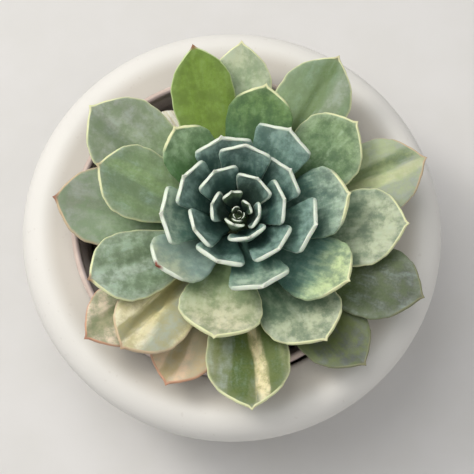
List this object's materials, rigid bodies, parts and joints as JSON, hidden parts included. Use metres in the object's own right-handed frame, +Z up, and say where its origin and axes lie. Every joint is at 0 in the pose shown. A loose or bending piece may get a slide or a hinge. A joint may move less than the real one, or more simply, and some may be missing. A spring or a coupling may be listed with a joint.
{
  "type": "potted succulent",
  "caption": "Rosette succulent with thick pointed leaves, growing in a nursery pot that rests in a round glazed planter with a broad brim.",
  "frame": {"origin": "middle of the planter's foot, on the surface it stands on", "axes": "+Z up along the planter's axis; the viewer who looks along +Y sees the plant's front"},
  "size_m": [0.16, 0.16, 0.111],
  "materials": {
    "glaze": "off-white ceramic glaze, semi-gloss",
    "pot_plastic": "mauve-brown moulded nursery pot plastic, dusty",
    "soil_mix": "dark gritty potting mix, dry and matt",
    "stem_skin": "green-brown plant stem with leaf scars",
    "leaf_skin": "grey-green leaf skin with a pale powdery bloom and pale margins",
    "dry_leaf": "cream papery dry leaf"
  },
  "bodies": {
    "root": {"planter": "glaze", "nursery_pot": "pot_plastic", "soil": "soil_mix", "stem": "stem_skin", "leaf_01": "leaf_skin", "leaf_02": "leaf_skin", "leaf_03": "leaf_skin", "leaf_04": "leaf_skin", "leaf_05": "leaf_skin", "leaf_06": "leaf_skin", "leaf_07": "leaf_skin", "leaf_08": "leaf_skin", "leaf_09": "leaf_skin", "leaf_10": "leaf_skin", "leaf_11": "leaf_skin", "leaf_12": "leaf_skin", "leaf_13": "leaf_skin", "leaf_14": "leaf_skin", "leaf_15": "leaf_skin", "leaf_16": "leaf_skin", "leaf_17": "leaf_skin", "leaf_18": "leaf_skin", "leaf_19": "leaf_skin", "leaf_20": "leaf_skin", "leaf_21": "leaf_skin", "leaf_22": "leaf_skin", "leaf_23": "leaf_skin", "leaf_24": "leaf_skin", "leaf_25": "leaf_skin", "leaf_26": "leaf_skin", "leaf_27": "leaf_skin", "leaf_28": "leaf_skin", "leaf_29": "leaf_skin", "leaf_30": "leaf_skin", "leaf_31": "leaf_skin", "leaf_32": "leaf_skin", "leaf_33": "leaf_skin", "leaf_34": "leaf_skin", "leaf_35": "leaf_skin", "leaf_36": "leaf_skin", "leaf_37": "leaf_skin", "leaf_38": "leaf_skin", "leaf_39": "leaf_skin", "leaf_40": "leaf_skin", "leaf_41": "leaf_skin", "leaf_42": "leaf_skin", "leaf_43": "leaf_skin", "withered_leaf": "dry_leaf", "growing_tip": "leaf_skin"}
  },
  "joints": []
}
